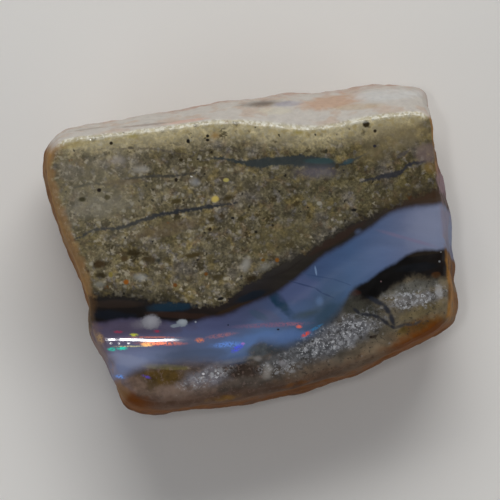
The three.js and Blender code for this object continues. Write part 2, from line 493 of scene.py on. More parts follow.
def makeStone():
    cube = gridCube()
    mesh = bpy.data.meshes.new("opalRough")
    cube.to_mesh(mesh)
    cube.free()
    count = len(mesh.vertices)
    places = np.empty(count * 3, np.float32)
    mesh.vertices.foreach_get("co", places)
    points, rim, sides = shapeStone(places.reshape(-1, 3).astype(float))
    setPlaces(mesh, points)
    normals = np.empty(count * 3, np.float32)
    mesh.vertex_normals.foreach_get("vector", normals)
    shaped = roughen(points, normals.reshape(-1, 3), rim)
    setPlaces(mesh, shaped * mm)
    for name, values in (("rim", rim), ("sideX", sides[:, 0]), ("sideY", sides[:, 1])):
        attribute = mesh.attributes.new(name, "FLOAT", "POINT")
        attribute.data.foreach_set("value", values.astype(np.float32))
    attribute = mesh.attributes.new("place", "FLOAT_VECTOR", "POINT")
    attribute.data.foreach_set("vector", shaped.astype(np.float32).ravel())
    mesh.shade_smooth()
    piece = bpy.data.objects.new("opal_rough", mesh)
    bpy.context.scene.collection.objects.link(piece)
    return piece


# From here on, a pair named for a range, a side or a start runs from where something doesn't show to where
# it is full.
layers = {  # millimetres; the lines on the cut face that each bed's height is taken from
    "overBand": [
        (-12.1, -3.5), (-10, -3.5), (-8.3, -3.7), (-6.9, -4), (-5.3, -4), (-3.2, -4.3), (0.15, -2.45),
        (2.1, -1.3), (3.8, -0.4), (5, 0.25), (7.3, 1.7), (9.6, 2.65), (11.9, 3.7), (14, 4.5),
    ],
    "overOpal": [
        (-12.1, -5.5), (-8.2, -5.2), (-4.8, -5.5), (-3.2, -5.15), (-1.6, -4.8), (0.45, -3.8), (2.1, -3.05),
        (3.8, -1.8), (5.55, -0.35), (7.3, 0.55), (9, 1.7), (10.7, 2.85), (11.9, 3.2), (14.2, 3.5),
    ],
    "overFoot": [
        (-10.4, -10.4), (-9.7, -9.7), (-8.3, -9.0), (-7.2, -8.7), (-4.3, -8.45), (-2.9, -8.4), (-0.6, -8.2),
        (1, -6.95), (2.5, -7.2), (3.8, -6.8), (5.5, -5.8), (6.4, -4.9), (7.1, -3.95), (7.7, -3.05),
        (8.8, -2.4), (10.7, -1.1), (12.45, -0.2), (14.5, 0.02),
    ],
    "overLowBand": [
        (6.5, -3.6), (7.7, -3.6), (9, -3.9), (10.1, -3.2), (11.3, -2.45), (12.45, -2), (13.6, -2.2),
        (14.6, -2),
    ],
    "range": 16,  # lines run from minus this to this
    "wave": (1.9, 2, 0.35),  # the beds' own unevenness: size, detail and amount
    "waver": (0.42, 2, 0.16),
    "sandEdge": (0.35, 2, 1.1),
    "lowBandEdge": 0.6,  # how much of the sand's raggedness it has
    "ripple": (0.8, 3, 1.1),  # how ragged patches are, broad and fine
    "frill": (0.2, 2, 0.6),
    "patchMiddle": 12.5,  # patches of the cut face lie around this height, and reach this far down
    "patchDepth": 1.2,
    "dipFrom": 12,  # the beds lean below this height
    "streakTurns": (0, 33),
    "streakStretch": (0.2, 1, 0.4),
    "streakBend": (-2.5, 2),
    "sandSoft": (-0.2, 0.25),
    "bandSoft": (-0.2, 0.2),
    "footSoft": (0.22, 0.6),  # on the right and on the left
    "footTurns": (8.2, 6.6),
    "lowBandSoft": (-0.5, 0.35),
    "lowBandStarts": (7.0, 8.3),
    "wallStarts": (0.1, -0.35),  # by how far in from the edge
}
patches = {  # x, y, half length, half width, turn in degrees, colour, then strength and softness
    "sand": [
        (5.3, 6.62, 1, 0.22, 0, "2f4a4c", 0.7), (5, 5.8, 1.4, 0.45, 0, "6a6570", 0.6, 0.9),
        (11.4, 8.7, 2.6, 0.9, 6, "8f8262", 0.6, 0.9), (9.4, 7.2, 1.4, 0.5, 10, "7d6f4e", 0.45, 0.9),
        (13.3, 7.2, 0.9, 0.8, 0, "7c6b68", 0.6), (11.5, 7.15, 0.7, 0.14, 32, "4c474a", 0.6),
        (7.35, 6.6, 0.4, 0.16, 20, "324c55", 0.7), (13.5, 6.1, 0.5, 0.45, 0, "846a38", 0.5),
        (-13.6, 7.9, 1.3, 0.35, 5, "a8965c", 0.5), (-9.4, 5.05, 1.6, 0.22, 4, "635036", 0.55),
        (-11.5, 3.2, 2, 0.8, 8, "85827a", 0.35), (-11.6, 4.6, 3.4, 3, 0, "8f8a76", 0.3, 0.9),
        (-6, 1.6, 2.6, 0.5, 14, "6b5c46", 0.5), (11.2, 4, 2.2, 0.6, 25, "4e4330", 0.4),
        (2.5, 0.9, 2.4, 1.2, 20, "5d553c", 0.35), (-8.72, -0.25, 0.62, 0.28, 0, "2e2408", 0.95, 0.55),
        (-7.5, -0.75, 0.55, 0.24, 0, "40341a", 0.95, 0.55),
        (-11.3, -1.12, 0.42, 0.28, 0, "3a2a10", 0.95, 0.55),
        (-11.15, -1.95, 0.48, 0.26, 0, "2b2208", 0.95, 0.55),
        (-9.4, -0.7, 0.3, 0.2, 0, "4a3a20", 0.95, 0.55),
        (-6.85, -0.85, 0.24, 0.22, 0, "34332c", 0.95, 0.55),
        (-4.3, -0.45, 0.8, 0.18, 10, "44381a", 0.95, 0.55),
        (-2.5, -2.05, 0.5, 0.28, 0, "40371e", 0.95, 0.55), (-1.7, 3.8, 0.5, 0.22, 12, "3c3216", 0.95, 0.55),
        (-2.9, 2.25, 0.3, 0.18, 0, "3f3516", 0.95, 0.55), (-5.55, 3.6, 0.42, 0.16, 8, "443a1b", 0.95, 0.55),
        (-12.6, 3.75, 0.26, 0.18, 0, "38341f", 0.95, 0.55),
        (0.1, -2.2, 0.5, 0.26, 15, "33270f", 0.95, 0.55), (-2.6, 8.55, 0.28, 0.24, 0, "94733c", 0.74, 0.75),
        (-8.8, 8.55, 0.4, 0.2, 0, "9a8c44", 0.64, 0.75), (3.6, 8.75, 0.36, 0.16, 0, "9a8c48", 0.64, 0.75),
        (-8.2, -2.1, 0.42, 0.26, 0, "9a9c9a", 0.69, 0.75),
        (-11.3, -2.65, 0.36, 0.22, 0, "96958c", 0.69, 0.75),
        (-8.1, 6, 0.62, 0.22, -6, "a5a29a", 0.64, 0.75), (-9.9, 6.7, 0.45, 0.32, 0, "9f9994", 0.55, 0.75),
        (-4.15, 5.05, 0.32, 0.28, 0, "8d8f92", 0.64, 0.75),
        (-0.3, -1.1, 0.28, 0.55, -10, "a9a79e", 0.64, 0.75),
        (1.2, -1.35, 0.5, 0.26, 20, "8f8e88", 0.6, 0.75),
    ],
    "band": [
        (-10.6, -4.95, 1.9, 0.38, -3, "151922", 0.9), (-10, -4.1, 2.2, 0.3, 0, "2b2019", 0.8),
        (-6, -4.3, 1.75, 0.36, 2, "142e3f", 0.9), (-5.2, -4.95, 2.4, 0.22, -3, "33231c", 0.8),
        (-1.2, -4.4, 1.5, 0.2, 22, "342618", 0.7), (0.1, -3.5, 1.2, 0.28, 20, "131d28", 0.85),
        (6.4, 0.75, 2.4, 0.3, 30, "38261d", 0.6), (8.11, 1.3, 0.24, 0.2, 30, "566686", 0.6, 0.9),
        (12.9, 3.95, 1.5, 0.3, 10, "3f2d1d", 0.7),
    ],
    "opal": [
        (-8, -5.9, 3.2, 0.55, 0, "544a5a", 0.6), (1.1, -6.75, 3.4, 0.55, 6, "5876aa", 0.75),
        (1.6, -5.2, 1.2, 0.5, -25, "565a76", 0.6), (2.2, -3.95, 1.4, 0.42, -50, "1a384e", 0.9),
        (0.6, -4.9, 0.7, 0.25, -25, "43566f", 0.7), (4.4, -4.81, 1, 0.26, 14, "384850", 0.75, 0.8),
        (5.8, -4.9, 1.2, 0.6, 40, "32495c", 0.6), (5.22, -3.88, 0.22, 0.28, 0, "6480aa", 0.5, 0.9),
        (4.94, -1.65, 0.07, 0.34, 10, "8ba6cc", 0.6), (3.6, -3, 1.5, 0.9, 20, "5a6188", 0.5),
        (-4, -7.9, 2.4, 0.4, 4, "4a5670", 0.6), (-9.4, -8.3, 1.8, 0.5, -10, "8a92ae", 0.6),
        (0.6, -7.5, 0.9, 0.4, 10, "4b555e", 0.8), (-8.6, -6.8, 2.6, 0.3, 0, "6d5f7c", 0.5),
        (13.4, 1.6, 1.6, 1.3, 15, "8a91ab", 0.5, 0.9),
    ],
    "lowBed": [
        (-9.7, -9.9, 1.2, 0.7, -50, "666880", 0.7), (-8.7, -10.2, 1.3, 0.6, -20, "826c5e", 0.7),
        (-6.7, -9.5, 1.7, 0.7, -8, "523e10", 0.88), (-7.3, -10.3, 0.5, 0.7, 0, "4a3a1c", 0.6),
        (-6.4, -8.8, 1.7, 0.2, -3, "756a40", 0.9), (-3.4, -9.7, 2.1, 0.8, 22, "74727a", 0.85),
        (-0.7, -9.1, 1.75, 0.5, -3, "33271f", 0.9), (-5.2, -10.8, 2.7, 0.7, 4, "7a675b", 0.8),
        (-8.7, -11.7, 1.6, 0.62, -22, "6e3b06", 0.95), (-1.9, -11.25, 1.7, 0.34, 6, "94702e", 0.8),
        (2.7, -10.85, 1, 0.24, 8, "854608", 0.85), (-1.1, -8.3, 1.5, 0.2, 10, "757068", 0.7),
        (1.2, -7.5, 1.3, 0.4, 14, "454c51", 0.8), (6.6, -6.6, 3.4, 1.1, 22, "5d6068", 0.7),
        (3.2, -8, 2.4, 0.6, 14, "4d5054", 0.7), (8.2, -4.4, 1.6, 0.7, -20, "34352f", 0.75),
        (12.2, -2.9, 2.2, 0.5, 12, "62635f", 0.75), (12.6, -3.8, 2.4, 0.5, 12, "77777a", 0.7),
        (13, -4.6, 1.7, 0.5, 20, "6e6244", 0.7), (12.8, -5.9, 2.6, 0.75, 24, "634010", 0.9),
        (11.4, -6.2, 0.6, 0.35, 20, "4f400e", 0.8), (9.4, -7.5, 2.4, 0.6, 22, "8c7860", 0.6, 0.9),
        (5, -9.3, 3, 0.7, 15, "6c5c4c", 0.8), (3.8, -10.1, 2.6, 0.25, 14, "6d4314", 0.8),
    ],
    "topWall": [
        (0.9, 10.95, 1.3, 0.22, 4, "5c4c46", 0.85, 0.8), (2.9, 10.95, 1.1, 0.2, 3, "9b99ab", 0.6),
        (1.8, 10.4, 1.3, 0.25, 0, "cfc9b8", 0.6), (6.2, 11.1, 2.4, 0.5, 8, "bf9c86", 0.85),
        (10.4, 11.6, 2.6, 0.4, 3, "cdcecf", 0.7), (8, 10.7, 1.8, 0.22, 4, "b9a286", 0.5),
        (-7.8, 9.35, 2, 0.08, 6, "8a7a74", 0.6), (-4.8, 9.6, 1.5, 0.12, 8, "d0a292", 0.6),
        (-12.2, 9.05, 1.2, 0.06, 8, "93857d", 0.5),
    ],
    "leftWall": [
        (-12, -7.2, 1.3, 1.7, 0, "b59c7c", 0.8),
    ],
    "rightWall": [
        (14.7, 3.6, 1.2, 2.6, 0, "8e7884", 0.85), (15.2, 0.1, 0.9, 0.6, 0, "4a2e1c", 0.7, 0.7),
    ],
    "clumps": [
        (1.35, -8.95, 0.32, 0.34, 0, "9b9894", 0.65, 0.7), (1.25, -9.45, 0.3, 0.3, 0, "938e88", 0.65, 0.7),
        (2.45, -8.55, 0.26, 0.2, 0, "97969a", 0.65, 0.7), (0.6, -8.2, 0.28, 0.18, 0, "8f8d8c", 0.65, 0.7),
        (3.15, -9.15, 0.28, 0.14, 0, "8b8988", 0.65, 0.7), (-3.5, -9.35, 0.1, 0.09, 0, "d8d8dc"),
        (9.3, -6.55, 0.3, 0.12, 20, "241b16", 0.8), (14.2, -3.2, 0.3, 0.5, 10, "b4b5b8", 0.6),
    ],
    "lowBand": [
        (7.88, -3.28, 0.45, 0.25, 0, "371d17", 0.85), (13.96, -1.93, 0.35, 0.22, 0, "4b3018", 0.8),
        (12.6, -0.3, 2, 0.2, 6, "2c241b", 0.6), (12.6, -1.35, 1.6, 0.3, 6, "14171c", 0.7),
    ],
    "spots": [  # single grains that stand out
        (-10.42, 7.97, 0.13, 0.13, 0, "21180a"), (-4.64, 8.12, 0.13, 0.16, 0, "0f0b06"),
        (-3.18, 8.5, 0.12, 0.12, 0, "1b150a"), (-3.18, 8.2, 0.14, 0.11, 0, "171109"),
        (-11.32, 4.45, 0.17, 0.15, 0, "1b130e"), (-5.54, 5.2, 0.12, 0.17, 0, "231a11"),
        (-5.17, 6.7, 0.15, 0.13, 0, "2f260d"), (8.71, 9.4, 0.27, 0.26, 0, "2c2208"),
        (9.38, 8.87, 0.12, 0.12, 0, "2a200f"), (6.53, 6.25, 0.15, 0.2, 0, "3a3424"),
        (5.71, 7.37, 0.13, 0.13, 0, "33301f"), (-2.2, -3.7, 0.28, 0.12, 15, "15120f"),
        (-10.45, -1.9, 0.16, 0.2, 0, "8a7d3a", 0.8), (5.2, 3.45, 0.2, 0.16, 0, "a5a294", 0.7),
        (-1.3, 2.35, 0.13, 0.1, 0, "1c1a16"), (-3, 1.5, 0.14, 0.14, 0, "2c200e"),
        (0.45, 1.3, 0.11, 0.1, 0, "1b170d"), (1.7, 1.8, 0.1, 0.1, 0, "2a2414"),
        (7.8, 2.95, 0.2, 0.12, 0, "17140f"), (9.35, 7.75, 0.13, 0.11, 0, "2b2830"),
        (-10.7, 3.9, 0.22, 0.2, 0, "433c20", 0.8), (-0.7, 2.3, 0.22, 0.2, 0, "3a3214", 0.85),
        (-9.29, -2.45, 0.2, 0.18, 0, "8f5312"), (-5.62, -2.68, 0.16, 0.14, 0, "6f4418"),
        (-3.29, -1.85, 0.14, 0.14, 0, "6a4316"), (2.03, -0.8, 0.16, 0.16, 0, "7d4f12"),
        (0.98, -0.8, 0.15, 0.12, 0, "6b4c18"), (-2.62, 3.77, 0.28, 0.24, 20, "c2ad5e"),
        (-1.79, 5.2, 0.22, 0.15, 0, "ada25c"), (9.08, -6.58, 0.1, 0.1, 0, "261b16"),
        (2.11, -6.01, 0.1, 0.07, 0, "20273a"), (-1.64, -5.68, 0.06, 0.06, 0, "20273a"),
        (-4.08, -5.45, 0.07, 0.07, 0, "9ba2ae"), (14.22, -0.91, 0.08, 0.08, 0, "8d9094", 0.7),
        (14.33, -0.2, 0.06, 0.06, 0, "8d9094", 0.6), (9.83, -2.41, 0.06, 0.06, 0, "7d6568", 0.7),
    ],
    "inclusions": [
        (-8.15, -5.6, 0.7, 0.34, 10, "706c7a", 0.85, 0.6), (-7.45, -5.47, 0.72, 0.5, 4, "86868f", 1, 0.3),
        (-7.4, -5.4, 0.42, 0.34, 20, "a5a6ae", 0.8, 0.9), (-5.1, -5.52, 0.42, 0.27, 0, "8f98a2", 1, 0.25),
        (-5.55, -5.72, 0.42, 0.13, 10, "858f9c", 1, 0.25),
        (-5.05, -5.46, 0.24, 0.16, 12, "a8b0b8", 0.7, 0.8),
    ],
}
patchDefaults = (1.0, 0.35)  # strength and softness where a patch doesn't say


def shareAlong(value):
    return (value + layers["range"]) / (2 * layers["range"])


def curveAlong(g, x, points):
    # a height in millimetres that follows listed points from left to right
    scaled = [(shareAlong(px), shareAlong(py)) for px, py in points]
    value = g.node("FloatCurve", {"points": scaled}, {"Factor": 1.0, "Value": shareAlong(x)})
    return value * (2 * layers["range"]) - layers["range"]


def rampAlong(g, x, stops):
    scaled = [(shareAlong(px), paint(colour)) for px, colour in stops]
    return g.node("ValToRGB", {"stops": scaled}, {0: shareAlong(x)})


def tint(g, colour, value, hexCode, span, strength):
    return g.blend(g.smooth(value, *span) * strength, colour, paint(hexCode))


def addPatches(g, s, colour, kind, ragged=0.0):
    for x, y, halfLength, halfWidth, turn, hexCode, *given in patches[kind]:
        strength, softness = (*given, *patchDefaults[len(given):])
        size = (halfLength, halfWidth)
        colour = g.blob(s, (x, y), size, turn, softness, ragged, strength, hexCode, colour)
    return colour


def addCoats(g, s, colour, coats):
    # Coats are laid over one another, and colour or shade what is below. A cloud has a size, a detail and a
    # roughness; dots have a spacing, the share that shows, a radius and a softness.
    for coat in coats:
        mask = coat.get("strength", 1.0)
        if "cloud" in coat:
            spread = g.smooth(g.cloud(s["place"], *coat["cloud"]), *coat["range"])
        if "grains" in coat:
            spread = g.chance(g.grains(s["place"], coat["grains"]))
        if "shade" in coat:
            colour = g.shade(colour, g.between(spread, *coat["shade"]))
            continue
        if "cloud" in coat:
            mask = spread * mask
        if "dots" in coat:
            mask = g.dots(s["place"], *coat["dots"], s["frill"]) * mask
        if "where" in coat:
            mask = s[coat["where"]] * mask
        colour = g.blend(mask, colour, paint(coat["colour"]))
    return colour


def addStreaks(g, s, colour, width, darkest, gain):
    # a cloud drawn out along the seam, which runs level on the left and climbs on the right
    drawn = []
    for turn in layers["streakTurns"]:
        rotation = (0, 0, math.radians(-turn))
        inputs = {"Vector": s["place"], "Rotation": rotation, "Scale": layers["streakStretch"]}
        drawn.append(g.cloud(g.node("Mapping", {"vector_type": "POINT"}, inputs), width, 3))
    streaks = g.between(g.smooth(s["x"], *layers["streakBend"]), *drawn)
    return g.shade(colour, darkest + streaks * gain)


sand = {  # grains from cream to grey-green, a few dark, with threads of opal between the beds
    "colours": [(-14, "70674e"), (-8, "69614b"), (0, "615a45"), (6, "565039"), (14, "504832")],
    # where a paler cream strip runs along the far edge: a painted glow of light let through the thin edge
    "edgeStrip": (2.3, 0.2),
    "farSide": (0.4, 0.9),
    "clump": (1.4, 2),
    "clumpRange": (0.5, 0.62),
    "whiteLeft": (4, -4),
    "whiteLow": (3.2, 0.6),
    "whiteShares": (0.15, 0.4, 0.6),  # everywhere, to the left, and in clumps near the dark band
    "coats": [
        {"cloud": (2.4, 3), "range": (0.5, 0.7), "colour": "6d6869", "strength": 0.45},
        {"cloud": (2, 3), "range": (0.5, 0.32), "colour": "5c522a", "strength": 0.5},
        {"cloud": (1, 3), "range": (0.52, 0.68), "colour": "7b6b3a", "strength": 0.5},
        {"cloud": (0.7, 3), "range": (0.54, 0.68), "colour": "62503c", "strength": 0.5},
        {"cloud": (0.5, 3), "range": (0.44, 0.32), "colour": "7b7775", "strength": 0.5},
        # painted glow: cream laid along the far edge as light let through the thin edge
        {"where": "topEdge", "colour": "bcae84", "strength": 0.7},
        {"cloud": (0.62, 3, 0.55), "range": (0.34, 0.66), "shade": (0.66, 1.34)},
        {"grains": 0.3, "shade": (0.78, 1.22)},
        {"cloud": (0.2, 2, 0.6), "range": (0.34, 0.66), "shade": (0.74, 1.26)},
        # the painted glow again, softer, after the shading, then olive flecks in it
        {"where": "topEdge", "colour": "c9c0a0", "strength": 0.45},
        {"cloud": (0.4, 3), "range": (0.5, 0.62), "where": "topEdge", "colour": "93803e", "strength": 0.6},
        {"cloud": (0.4, 2), "range": (0.58, 0.68), "where": "whiter", "colour": "a8a08c", "strength": 0.9},
        {"dots": (0.62, 0.36, 0.22, 0.14), "where": "whiter", "colour": "b3ae9e"},
        {"dots": (0.95, 0.4, 0.21, 0.12), "colour": "352b10", "strength": 0.7},
        {"dots": (1.7, 0.4, 0.17, 0.08), "colour": "322a10", "strength": 0.75},
        {"dots": (0.5, 0.25, 0.2, 0.13), "colour": "3b3527", "strength": 0.5},
        {"dots": (0.55, 0.3, 0.13, 0.06), "colour": "18140b", "strength": 0.85},
        {"dots": (1.5, 0.25, 0.1, 0.05), "colour": "7a480e", "strength": 0.85},
        {"dots": (1.1, 0.12, 0.05, 0.03), "colour": "e8e6dc", "strength": 0.8},
    ],
    "veins": [  # thin threads of opal: the middle line, then half thicknesses along it
        {
            "line": [
                (-13.34, 4.52), (-12.22, 4.9), (-10.34, 4.97), (-8.17, 5.42), (-5.77, 5.5), (-3.89, 5.8),
            ],
            "width": [(-13.5, 0), (-12.4, 0.07), (-10, 0.04), (-8, 0.09), (-5.5, 0.08), (-3.9, 0)],
            "colour": "34332f", "strength": 0.85,
        },
        {
            "line": [
                (-3.37, 6.85), (-1.72, 6.77), (-0.74, 6.59), (0.61, 6.47), (3.01, 6.62), (4.51, 6.59),
                (5.86, 6.44), (6.98, 6.32), (8.11, 6.89), (8.71, 7.22),
            ],
            "width": [
                (-3.6, 0), (-2.4, 0.06), (-0.74, 0.12), (0.5, 0.32), (2.8, 0.34), (4.9, 0.42), (6, 0.3),
                (6.6, 0.08), (7.6, 0.13), (8.9, 0),
            ],
            "colour": "2e3638", "strength": 0.93,
        },
        {
            "line": [
                (8.18, 4.97), (9.16, 5.27), (10.13, 5.5), (11.33, 5.8), (11.86, 6.32), (12.83, 6.55),
                (13.5, 6.8),
            ],
            "width": [(7.9, 0), (9.2, 0.08), (10.6, 0.2), (11.6, 0.14), (12.4, 0.13), (13.6, 0.03)],
            "colour": "2b2c33", "strength": 0.92,
        },
        {
            "line": [
                (-13.34, 0.7), (-12.67, 0.92), (-11.77, 1.37), (-10.34, 1.52), (-9.22, 1.75), (-8.32, 2.12),
                (-6.37, 2.65), (-5.17, 2.87), (-2.77, 3.17), (-0.82, 3.55),
            ],
            "width": [
                (-13.6, 0.04), (-11, 0.09), (-8.3, 0.14), (-6, 0.12), (-4, 0.13), (-2.4, 0.08), (-0.6, 0),
            ],
            "colour": "272b31", "strength": 0.93,
        },
        {
            "line": [(-12.6, 7.3), (-10, 7.55), (-7.6, 7.5), (-5.8, 7.25), (-3.6, 6.9)],
            "width": [(-12.8, 0), (-10.4, 0.03), (-8, 0.06), (-6, 0.05), (-3.4, 0)],
            "colour": "4b4440", "strength": 0.6,
        },
    ],
    "veinFrill": 0.45,
    "veinRange": (0.12, -0.08),
    "veinStarts": (0.0, 0.03),
    "feet": [  # darker over the dark band: height range, x range, raggedness, strength, brightness
        ((1.3, 0.1), (-3.5, -7), 0.9, 0.85, 0.3), ((1.1, -0.1), (-2, 1.5), 0.8, 0.8, 0.36),
    ],
}


def sandstone(g, s):
    colour = rampAlong(g, s["x"], sand["colours"])
    # the strip along the far edge that takes the painted glow
    s["topEdge"] = g.smooth(s["rim"], *sand["edgeStrip"]) * g.smooth(s["sideY"], *sand["farSide"])
    clumps = g.smooth(g.cloud(s["place"], *sand["clump"]), *sand["clumpRange"])
    plain, left, low = sand["whiteShares"]
    whiter = plain + g.smooth(s["x"], *sand["whiteLeft"]) * left
    s["whiter"] = whiter + g.smooth(s["overBand"], *sand["whiteLow"]) * clumps * low
    colour = addCoats(g, s, colour, sand["coats"])
    for vein in sand["veins"]:
        middle = curveAlong(g, s["x"], vein["line"])
        width = curveAlong(g, s["x"], vein["width"])
        offset = abs(s["bedY"] - middle) - width + s["frill"] * sand["veinFrill"]
        mask = g.smooth(offset, *sand["veinRange"]) * g.smooth(width, *sand["veinStarts"])
        colour = g.blend(mask * vein["strength"], colour, paint(vein["colour"]))
    colour = addPatches(g, s, colour, "sand", s["ripple"])
    for heights, span, ragged, strength, brightness in sand["feet"]:
        foot = g.smooth(s["overBand"] + s["ripple"] * ragged, *heights) * g.smooth(s["x"], *span)
        colour = g.blend(foot * strength, colour, g.shade(colour, brightness))
    return colour


band = {  # brown common opal that darkens the top of the seam
    "colours": [
        (-12, "15110f"), (-8, "151110"), (-5, "1b1616"), (-2.6, "261f1c"), (0, "231f21"), (3, "2b2722"),
        (6, "292521"), (9, "2b2622"), (12, "342820"), (14, "43352a"),
    ],
    "streaks": (0.45, 0.55, 0.9),
    "dust": (0.45, 0.22, 0.08, 0.05),
    "dustRange": (0.7, 1.4),
    "dustColour": "74756f",
    "dustStrength": 0.5,
}


def darkBand(g, s):
    colour = addStreaks(g, s, rampAlong(g, s["x"], band["colours"]), *band["streaks"])
    colour = addPatches(g, s, colour, "band", s["ripple"])
    dust = g.dots(s["place"], *band["dust"]) * g.smooth(s["overOpal"], *band["dustRange"])
    return g.blend(dust * band["dustStrength"], colour, paint(band["dustColour"]))


opal = {  # colours from left to right, where the seam meets the dark band and at its foot
    "upper": [
        (-11.5, "5b5268"), (-8, "5c5a78"), (-5.5, "5c6488"), (-2.5, "52587c"), (0.5, "4a5473"),
        (2.5, "485a80"), (5, "465a80"), (7.5, "496188"), (9.5, "55678b"), (11.5, "65708f"),
        (13.8, "7c849e"),
    ],
    "lower": [
        (-11, "7f89aa"), (-8, "7581a3"), (-5, "4d5973"), (-1.5, "58719d"), (1.3, "506b94"), (3, "4a6084"),
        (5.7, "3f546c"), (7.5, "4a6388"), (10, "596c92"), (12.4, "6c7695"), (13.8, "7a84a0"),
    ],
    "footRange": (0.15, 0.8),
    "streaks": (0.8, 0.82, 0.36),
    "edge": ("302c3c", (-0.45, 0.05), 0.55),
}


def preciousOpal(g, s):
    upper = rampAlong(g, s["x"], opal["upper"])
    lower = rampAlong(g, s["x"], opal["lower"])
    share = s["overFoot"] / (s["overFoot"] - s["overOpal"])
    colour = g.blend(g.smooth(share, *opal["footRange"]), lower, upper)
    colour = addStreaks(g, s, colour, *opal["streaks"])
    colour = addPatches(g, s, colour, "opal", s["ripple"])
    return tint(g, colour, s["overOpal"], *opal["edge"])


lowBand = {
    "colours": [(7, "171415"), (9, "0c0b0b"), (12, "0f0d0c"), (14.5, "1c1715")],
    "streaks": (0.45, 0.6, 0.8),
}


def lowDarkBand(g, s):
    colour = rampAlong(g, s["x"], lowBand["colours"])
    colour = addPatches(g, s, colour, "lowBand", s["ripple"])
    return addStreaks(g, s, colour, *lowBand["streaks"])


matrix = {  # clear and brown to the left, drifts of white grains to the right
    "colours": [
        (-10, "5e4c40"), (-5, "5a4c43"), (0, "504841"), (5, "524c46"), (9, "5a5448"), (14, "6e634e"),
    ],
    "seamShadow": "3b4149",
    "shadowRange": (-1.3, -0.1),
    "shadowStarts": (-2.5, 0),
    "shadowStrength": 0.7,
    "coats": [{"cloud": (0.9, 4, 0.6), "range": (0.32, 0.68), "shade": (0.7, 1.3)}],
    "drifts": [  # where white grains have gathered: place, half size, turn
        ((6.4, -6.6), (3.3, 1.0), 24), ((12.4, -3.7), (2.6, 0.75), 10), ((2.2, -8.9), (1.5, 0.5), 8),
        ((-3.5, -9.7), (1.8, 0.55), 22),
    ],
    "driftSoftness": 0.5,
    "clump": (1.1, 3),
    "clumpRange": (0.36, 0.6),
    "clumpShares": (0.3, 0.7),
    "rightStarts": (0, 4),
    "driftCoats": [
        {"cloud": (0.36, 2, 0.6), "range": (0.46, 0.64), "where": "drifts", "colour": "a9abb0",
         "strength": 0.8},
        {"cloud": (0.19, 2, 0.6), "range": (0.56, 0.68), "where": "drifts", "colour": "d6d9de",
         "strength": 0.8},
        {"dots": (0.34, 0.4, 0.24, 0.12), "where": "drifts", "colour": "bfc3c9", "strength": 0.55},
        {"cloud": (0.26, 2, 0.6), "range": (0.42, 0.32), "where": "right", "colour": "34312c",
         "strength": 0.7},
        {"dots": (0.5, 0.3, 0.16, 0.1), "where": "right", "colour": "9c9b98", "strength": 0.35},
        {"cloud": (0.33, 3, 0.7), "range": (0.52, 0.68), "where": "left", "colour": "86726a",
         "strength": 0.4},
        {"dots": (0.42, 0.2, 0.14, 0.09), "where": "left", "colour": "a3978e", "strength": 0.3},
    ],
}


def lowBed(g, s):
    colour = rampAlong(g, s["x"], matrix["colours"])
    shadow = g.smooth(s["overFoot"], *matrix["shadowRange"]) * g.smooth(s["x"], *matrix["shadowStarts"])
    colour = g.blend(shadow * matrix["shadowStrength"], colour, paint(matrix["seamShadow"]))
    colour = addPatches(g, s, colour, "lowBed", s["ripple"])
    colour = addCoats(g, s, colour, matrix["coats"])
    gathered = None
    for at, size, turn in matrix["drifts"]:
        mask = g.blob(s, at, size, turn, matrix["driftSoftness"], s["ripple"])
        gathered = mask if gathered is None else g.maths("MAXIMUM", gathered, mask)
    clump = g.smooth(g.cloud(s["place"], *matrix["clump"]), *matrix["clumpRange"])
    plain, clumped = matrix["clumpShares"]
    s["drifts"] = gathered * (plain + clump * clumped)
    s["right"] = g.smooth(s["x"], *matrix["rightStarts"])
    s["left"] = 1 - s["right"]
    colour = addCoats(g, s, colour, matrix["driftCoats"])
    return addPatches(g, s, colour, "clumps", s["frill"])


marks = {
    "spotFrill": 0.5,
    "cracks": [  # half width, colour, strength, softness, and points along each
        (0.13, "25272e", 0.92, 0.5, [
            (7.81, -4.48), (8.26, -4.85), (9.16, -4.93), (9.76, -5.15), (10.51, -5.75), (10.88, -5.9),
        ]),
        (0.19, "242832", 0.9, 0.5, [(9.01, -3.65), (10.06, -4.18), (10.51, -4.85), (10.81, -5.68)]),
        (0.12, "3b3a3c", 0.85, 0.5, [(10.88, -5.9), (11.63, -5.64), (12.23, -5.68), (12.83, -5.38)]),
        (0.06, "2c3d60", 0.6, 0.5, [(3.23, -2.45), (4.88, -2.9), (5.41, -3.28), (6.16, -3.58)]),
        (0.05, "33496f", 0.5, 0.5, [(4.51, -1.93), (6.23, -2.23), (7.13, -2.53), (7.51, -2.68)]),
        (0.12, "84708c", 0.4, 0.9, [(10.06, 1.3), (11.63, 0.85), (13.51, 0.32)]),
        (0.07, "221b19", 0.6, 0.5, [(1.8, -2), (2.8, -1.6), (3.9, -0.75)]),
    ],
}


def addMarks(g, s, colour):
    for width, hexCode, strength, softness, points in marks["cracks"]:
        mask = g.strand(s, points, width, softness, s["frill"]) * strength
        colour = g.blend(mask, colour, paint(hexCode))
    colour = addPatches(g, s, colour, "spots", s["frill"] * marks["spotFrill"])
    return addPatches(g, s, colour, "inclusions", s["frill"])


rims = {  # the cut face's edge lets light through the rind
    "ragged": (0.8, 3, 1.2),
    "amber": "6e3a04",  # at the near corners
    "amberRange": (0.9, 0.1),
    "amberSide": (-0.45, -0.85),
    "amberCorners": ((-6.5, -8.5), (9, 12)),
    "amberShares": (0.25, 0.7),  # all along, and more at the corners
    "tan": "977248",  # along the left
    "tanRange": (0.75, 0.15),
    "tanSide": (-0.5, -0.8),
    "tanStrength": 0.65,
    "tanOffOpal": 0.7,
    # the near-white colour along the far edge is a painted glint, broken up by the sparkle cloud; the same
    # band also gets a wet coat
    "wet": "e8e6d8",  # along the far edge
    "wetMiddle": 0.03,
    "wetRange": (0.5, 0.15),
    "wetSide": (0.5, 0.9),
    "sparkle": (0.3, 2),
    "sparkleRange": (0.45, 0.6),
    "sparkleShares": (0.25, 0.6),
}


